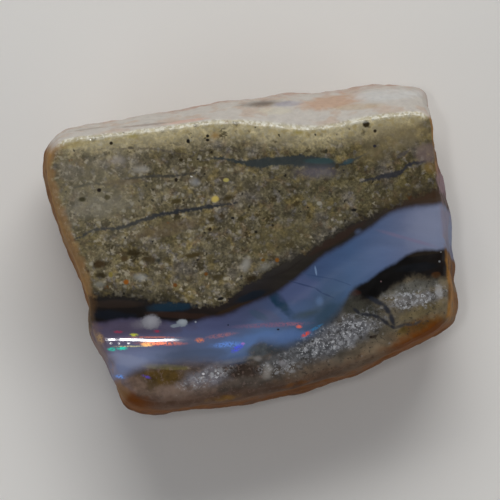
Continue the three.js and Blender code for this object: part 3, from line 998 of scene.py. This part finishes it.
def addRims(g, s, colour):
    ragged = s["rim"] + g.wobble(s["place"], *rims["ragged"])
    corners = g.maths("MAXIMUM", *[g.smooth(s["x"], *span) for span in rims["amberCorners"]])
    plain, more = rims["amberShares"]
    amber = g.smooth(ragged, *rims["amberRange"]) * g.smooth(s["sideY"], *rims["amberSide"])
    colour = g.blend(amber * (plain + corners * more), colour, paint(rims["amber"]))
    tan = g.smooth(ragged, *rims["tanRange"]) * g.smooth(s["sideX"], *rims["tanSide"])
    tan = tan * (1 - s["bareOpal"] * rims["tanOffOpal"])
    colour = g.blend(tan * rims["tanStrength"], colour, paint(rims["tan"]))
    # the far edge's band: a wet coat, and a painted glint laid into the colour
    wet = g.smooth(abs(s["rim"] - rims["wetMiddle"]), *rims["wetRange"])
    s["wetEdge"] = wet * g.smooth(s["sideY"], *rims["wetSide"])
    sparkle = g.smooth(g.cloud(s["place"], *rims["sparkle"]), *rims["sparkleRange"])
    plain, more = rims["sparkleShares"]
    return g.blend(s["wetEdge"] * (plain + sparkle * more), colour, paint(rims["wet"]))


skin = {  # the rind outside the stone; a colour with a range and a strength is laid over those before it
    "left": ("9c7644", "7c4e1c"),  # near the cut face, then further down
    "right": ("9a6c30", "6e4216"),
    "bottom": ("84500f", "75430a"),
    "deepRange": (-0.4, -5.5),
    "rightTurn": (-0.35, 0.35),
    "nearTurn": (-0.35, -0.75),
    "farTurn": (0.35, 0.75),
    "mottle": (2.2, 4, 0.6),
    "fineMottle": (0.5, 3, 0.6),
    "under": ("66543c", (1.6, 0.2), 0.8),
    "rust": ("522c0a", (0.46, 0.32), 0.6),
    "pale": ("a58d62", (0.55, 0.75), 0.3),
    "shade": (0.7, 0.6),
    "top": "c5c0bb",  # the far wall
    "peach": ("bda08c", (0.5, 0.64), 0.5),
    "blush": ("b08a7e", (-4.6, -8.2), 0.75),
    "blushRagged": 5,
    "stainHeights": (4.4, 5.6),
    "topLow": ("8f7a62", (5.2, 1.8), 0.8),
    "topLowRagged": 3,
    "topShade": (0.82, 0.36),
    "cover": 0.88,
    "opalShows": 0.55,
    "wornThrough": 0.6,
    "wornRange": (0.5, 0.62),
    "bareSide": (-0.3, -0.7),  # the near side stays bare just below the cut face
    "bareRange": (-3.0, -0.4),
}


def sideWalls(g, s, mottle, fineMottle):
    deep = g.smooth(s["rim"], *skin["deepRange"])
    left, right, bottom = [
        g.blend(deep, paint(skin[side][0]), paint(skin[side][1])) for side in ("left", "right", "bottom")
    ]
    colour = g.blend(g.smooth(s["sideX"], *skin["rightTurn"]), left, right)
    colour = g.blend(g.smooth(s["sideY"], *skin["nearTurn"]), colour, bottom)
    colour = tint(g, colour, s["z"], *skin["under"])
    colour = tint(g, colour, mottle, *skin["rust"])
    colour = tint(g, colour, fineMottle, *skin["pale"])
    darkest, gain = skin["shade"]
    colour = g.shade(colour, darkest + fineMottle * gain)
    for side in ("leftWall", "rightWall"):
        colour = addPatches(g, s, colour, side, s["ripple"])
    return colour


def farWall(g, s, mottle, fineMottle):
    colour = tint(g, paint(skin["top"]), mottle, *skin["peach"])
    colour = tint(g, colour, s["rim"] + s["ripple"] * skin["blushRagged"], *skin["blush"])
    stained = addPatches(g, s, colour, "topWall", s["ripple"])
    colour = g.blend(g.smooth(s["z"], *skin["stainHeights"]), colour, stained)
    colour = tint(g, colour, s["z"] + s["ripple"] * skin["topLowRagged"], *skin["topLow"])
    darkest, gain = skin["topShade"]
    return g.shade(colour, darkest + fineMottle * gain)


def addSkin(g, s, inside):
    # the walls: the beds seen through a rind of clay and iron stain that differs from side to side
    mottle = g.cloud(s["place"], *skin["mottle"])
    fineMottle = g.cloud(s["place"], *skin["fineMottle"])
    allTheWayDown = {**s, "under": 0.0}
    walls = sideWalls(g, allTheWayDown, mottle, fineMottle)
    onTop = g.smooth(s["sideY"], *skin["farTurn"])
    walls = g.blend(onTop, walls, farWall(g, allTheWayDown, mottle, fineMottle))
    worn = g.smooth(mottle, *skin["wornRange"]) * (1 - onTop) * skin["wornThrough"]
    through = skin["cover"] - skin["opalShows"] * s["bareOpal"] - worn
    bare = g.smooth(s["sideY"], *skin["bareSide"]) * g.smooth(s["rim"], *skin["bareRange"])
    return g.blend(s["onWall"], inside, g.blend(through * (1 - bare), inside, walls))


fire = {  # the play of colour, broken up into crumbs
    "crumb": 0.13,
    "crumbRange": (0.3, 0.56),
    "softness": 0.6,
    # the colours are the opal's play of colour; the last column is the strength of a painted glow sent to
    # emission
    "flashes": [  # x, y, half length, half width, turn, colour, glow
        (-10.35, -7.5, 0.3, 0.12, 0, "20c0a8", 0.34), (-9.6, -7.42, 0.34, 0.13, 0, "22ccb0", 0.42),
        (-8.72, -6.42, 0.28, 0.11, 0, "b4b840", 0.36), (-8.9, -7.28, 1.1, 0.05, 0, "c8c090", 0.25),
        (-6.7, -7.06, 1.5, 0.15, 0, "d0705c", 0.26), (-7.7, -7.12, 0.4, 0.15, 0, "ffbe70", 0.85),
        (-6.9, -7.04, 0.75, 0.1, 0, "ff9070", 0.6), (-7.3, -6.6, 1.6, 0.06, 0, "c87868", 0.16),
        (-3.78, -6.82, 0.3, 0.16, 0, "d07858", 0.12), (-2.2, -6.47, 1, 0.15, 9, "946a7c", 0.03),
        (1.5, -5.68, 2.4, 0.17, 3, "766080", 0), (3.2, -5.6, 0.6, 0.1, 0, "8a6078", 0.02),
        (3.68, -5.8, 0.2, 0.11, 0, "e06a58", 0.1), (4.2, -6.36, 0.32, 0.13, 28, "dc5040", 0.1),
        (4.95, -5.9, 0.5, 0.1, 30, "3a78a8", 0.02), (-0.95, -7.4, 0.45, 0.2, 32, "4a54e0", 0.13),
        (-1.7, -7.15, 0.9, 0.2, 4, "648cd8", 0.06), (-0.52, -7.08, 0.13, 0.1, 0, "a878c8", 0.1),
        (-9.78, -9.55, 0.34, 0.14, -10, "6f9ce8", 0.14), (-7.78, -9.55, 0.3, 0.1, -20, "5c4ab0", 0.06),
        (-9.89, -6.2, 0.3, 0.1, 0, "983c58", 0.08), (-6.97, -6.15, 0.26, 0.1, 0, "983c58", 0.06),
        # the three white flashes are painted highlights: small beads of light just under the mirror line
        (-11.3, -6.7, 0.4, 0.3, -60, "a88a62", 0.02), (-10.45, -7.05, 0.09, 0.07, 0, "ffffff", 0.8),
        (-9.85, -7.07, 0.08, 0.06, 0, "ffffff", 0.8), (-9.1, -7.05, 0.1, 0.07, 0, "ffffff", 0.8),
    ],
}


def addFire(g, s, colour):
    # painted glow: each flash's colour sent to emission so that it shines even in shade
    paintedGlow = (0.0, 0.0, 0.0, 1.0)
    crumbs = g.smooth(g.cloud(s["place"], fire["crumb"], 1), *fire["crumbRange"])
    for x, y, halfLength, halfWidth, turn, hexCode, strength in fire["flashes"]:
        hue = paint(hexCode)
        flash = g.blob(s, (x, y), (halfLength, halfWidth), turn, fire["softness"]) * crumbs
        colour = g.blend(flash, colour, hue)
        if strength:
            paintedGlow = g.blend(flash, paintedGlow, (*[channel * strength for channel in hue[:3]], 1))
    return colour, paintedGlow


def layOut(g):
    # where each point lies: its place, how far in from the edge it is, and how far over each bed's foot
    p = g.node("TexCoord", {}, {}, "Object")
    place = g.node("Attribute", {"attribute_name": "place"}, {}, "Vector")
    split = g.node("SeparateXYZ", {}, {0: place})
    x, y, z = [split.output(axis) for axis in "XYZ"]
    bedY = y + g.maths("MAXIMUM", layers["dipFrom"] - z, 0) * -stone["seamDip"]
    for name in ("wave", "waver"):
        bedY = bedY + g.wobble(p, *layers[name])
    under = (z - layers["patchMiddle"]) / layers["patchDepth"]
    s = {"place": p, "x": x, "y": y, "z": z, "bedY": bedY, "under": under * under}
    s["softBlob"] = softBlobGroup()
    for name in ("rim", "sideX", "sideY"):
        s[name] = g.node("Attribute", {"attribute_name": name}, {}, "Fac")
    for name in ("ripple", "frill"):
        s[name] = g.wobble(p, *layers[name])
    for name in ("overBand", "overOpal", "overFoot", "overLowBand"):
        s[name] = bedY - curveAlong(g, x, layers[name])
    grainy = g.wobble(p, *layers["sandEdge"])
    s["inSand"] = g.smooth(s["overBand"] + grainy, *layers["sandSoft"])
    s["inBand"] = g.smooth(s["overOpal"], *layers["bandSoft"])
    footSoftness = g.between(g.smooth(x, *layers["footTurns"]), *layers["footSoft"])
    s["inOpal"] = g.smooth(s["overFoot"] / footSoftness, -1, 1)
    inLowBand = g.smooth(s["overLowBand"] + grainy * layers["lowBandEdge"], *layers["lowBandSoft"])
    s["inLowBand"] = inLowBand * g.smooth(x, *layers["lowBandStarts"])
    s["bareOpal"] = s["inOpal"] * (1 - s["inSand"])
    s["onWall"] = g.smooth(s["rim"], *layers["wallStarts"])
    return s


finish = {  # how each part is rubbed down
    "mirror": {"at": (-8.45, -6.75), "size": (3.5, 0.9), "turn": 0, "softness": 0.3},
    "mirrorRoughness": 0.14,
    "mirrorCoat": 0.8,
    "opalRoughness": 0.36,
    "sandRoughness": 0.52,
    "wallRoughness": 0.68,
    "wetRoughness": 0.28,
    "wetCoat": 0.6,
    "coatRoughness": 0.05,
    "patchy": (0.5, 3, 0.2),
    "limits": (0.08, 0.8),
    "grain": 0.4,
    "fineGrain": (0.16, 2, 0.6),
    "grainHeights": (0.5, 0.5),  # of the grains and of the fine grain
    "opalCalm": 0.98,  # how much smoother the opal is
    "relief": 0.05 * mm,
    "reliefStrength": 0.55,
    "refraction": 1.45,
    "shine": 0.18,
}


def roughnessOf(g, s, mirror, smoothed):
    roughness = g.between(s["onWall"], finish["sandRoughness"], finish["wallRoughness"])
    roughness = g.between(smoothed, roughness, finish["opalRoughness"])
    roughness = g.between(mirror, roughness, finish["mirrorRoughness"])
    roughness = g.between(s["wetEdge"], roughness, finish["wetRoughness"])
    return g.limit(roughness + g.wobble(s["place"], *finish["patchy"]), *finish["limits"])


def reliefOf(g, s, smoothed):
    cell = g.grains(s["place"], finish["grain"])
    coarse, fine = finish["grainHeights"]
    height = (1 - cell) * coarse + g.cloud(s["place"], *finish["fineGrain"]) * fine
    height = height * (1 - smoothed * finish["opalCalm"])
    inputs = {"Strength": finish["reliefStrength"], "Distance": finish["relief"], "Height": height}
    return g.node("Bump", {}, inputs)


def stoneMaterial():
    material = bpy.data.materials.new("seamOpalInSandstone")
    material.use_nodes = True
    g = Graph(material.node_tree)
    s = layOut(g)
    colour = g.blend(s["inLowBand"], lowBed(g, s), lowDarkBand(g, s))
    colour = g.blend(s["inOpal"], colour, preciousOpal(g, s))
    colour = g.blend(s["inBand"], colour, darkBand(g, s))
    colour = g.blend(s["inSand"], colour, sandstone(g, s))
    colour = addMarks(g, s, colour)
    colour = addRims(g, s, colour)
    colour = addSkin(g, s, colour)
    colour, paintedGlow = addFire(g, s, colour)
    onFace = 1 - s["onWall"]
    mirror = g.blob(s, **finish["mirror"]) * onFace
    smoothed = onFace * (1 - s["inSand"]) * g.maths("MAXIMUM", s["inOpal"], s["inLowBand"])
    coat = g.maths("MAXIMUM", mirror * finish["mirrorCoat"], s["wetEdge"] * finish["wetCoat"])
    shader = g.node("BsdfPrincipled", {}, {
        "Base Color": colour,
        "Roughness": roughnessOf(g, s, mirror, smoothed),
        "Coat Weight": coat,
        "Coat Roughness": finish["coatRoughness"],
        "IOR": finish["refraction"],
        "Specular IOR Level": finish["shine"],
        # emission carries only the painted glow of the fire flashes
        "Emission Color": paintedGlow,
        "Emission Strength": 1.0,
        "Normal": reliefOf(g, s, smoothed),
    })
    g.node("OutputMaterial", {}, {"Surface": shader})
    return material


studio = {
    "floorColour": "f0efec",
    "floorSize": 6.0,
    "floorRoughness": 0.7,
    "overheadRange": (0.25, 0.75),
    "worldNear": (0.42, 0.425, 0.44, 1),
    "worldOverhead": (0.07, 0.07, 0.075, 1),
    "worldStrength": 1.0,
    "cameraHeight": 1.0,
    "farthest": 20,
    "frameWidth": 37.5 * mm,
    "sensor": 36.0,
    "middle": (0.0, -0.05 * mm),
}
lights = [  # azimuth from +X and elevation in degrees, distance and size in metres
    {"name": "key", "azimuth": 88, "elevation": 48, "distance": 0.6, "size": (0.42, 0.24), "radiance": 6.0,
     "colour": (1.0, 0.985, 0.96)},
    {"name": "sparkle", "azimuth": 167, "elevation": 84.9, "distance": 0.5, "size": (0.022, 0.04),
     "radiance": 60, "colour": (1.0, 1.0, 1.0)},
    {"name": "fill", "azimuth": 215, "elevation": 30, "distance": 0.6, "size": (0.4, 0.3), "radiance": 0.8,
     "colour": (0.97, 0.98, 1.0)},
    {"name": "rim", "azimuth": -20, "elevation": 25, "distance": 0.6, "size": (0.3, 0.3), "radiance": 1.2,
     "colour": (1.0, 0.96, 0.9)},
]


def makeFloor():
    sheet = bmesh.new()
    bmesh.ops.create_grid(sheet, x_segments=1, y_segments=1, size=studio["floorSize"] / 2)
    mesh = bpy.data.meshes.new("floor")
    sheet.to_mesh(mesh)
    sheet.free()
    floor = bpy.data.objects.new("floor", mesh)
    bpy.context.scene.collection.objects.link(floor)
    material = bpy.data.materials.new("paleFloor")
    material.use_nodes = True
    shader = material.node_tree.nodes["Principled BSDF"]
    shader.inputs["Base Color"].default_value = paint(studio["floorColour"])
    shader.inputs["Roughness"].default_value = studio["floorRoughness"]
    mesh.materials.append(material)
    return floor


def makeWorld():
    world = bpy.data.worlds.new("studio")
    world.use_nodes = True
    bpy.context.scene.world = world
    g = Graph(world.node_tree)
    direction = g.node("TexCoord", {}, {}, "Generated")
    up = g.node("SeparateXYZ", {}, {0: direction}, "Z")
    colour = g.blend(g.smooth(up, *studio["overheadRange"]), studio["worldNear"], studio["worldOverhead"])
    light = g.node("Background", {}, {"Color": colour, "Strength": studio["worldStrength"]})
    g.node("OutputWorld", {}, {"Surface": light})


def makeLights():
    for lamp in lights:
        data = bpy.data.lights.new(lamp["name"], "AREA")
        data.shape = "RECTANGLE"
        data.size, data.size_y = lamp["size"]
        data.energy = lamp["radiance"] * math.pi * data.size * data.size_y
        data.color = lamp["colour"]
        around = math.radians(lamp["azimuth"])
        up = math.radians(lamp["elevation"])
        aim = Vector((math.cos(around) * math.cos(up), math.sin(around) * math.cos(up), math.sin(up)))
        wide = (Vector((1, 0, 0)) - aim * aim.x).normalized()
        light = bpy.data.objects.new(lamp["name"], data)
        light.location = aim * lamp["distance"]
        light.rotation_euler = Matrix((wide, aim.cross(wide), aim)).transposed().to_euler()
        bpy.context.scene.collection.objects.link(light)


def makeCamera():
    data = bpy.data.cameras.new("camera")
    data.sensor_width = studio["sensor"]
    data.lens = studio["sensor"] * studio["cameraHeight"] / studio["frameWidth"]
    data.clip_end = studio["farthest"]
    camera = bpy.data.objects.new("camera", data)
    face = stone["faceHeight"] * mm
    camera.location = (*studio["middle"], face + studio["cameraHeight"])
    bpy.context.scene.collection.objects.link(camera)
    bpy.context.scene.camera = camera
    bpy.context.scene.view_settings.view_transform = "Standard"


opalRough = makeStone()
opalRough.data.materials.append(stoneMaterial())
print("stone:", len(opalRough.data.polygons), "faces")
floor = makeFloor()
makeWorld()
makeLights()
makeCamera()
print("studio ready")

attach(opalRough, "root")
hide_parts("opal_stone")
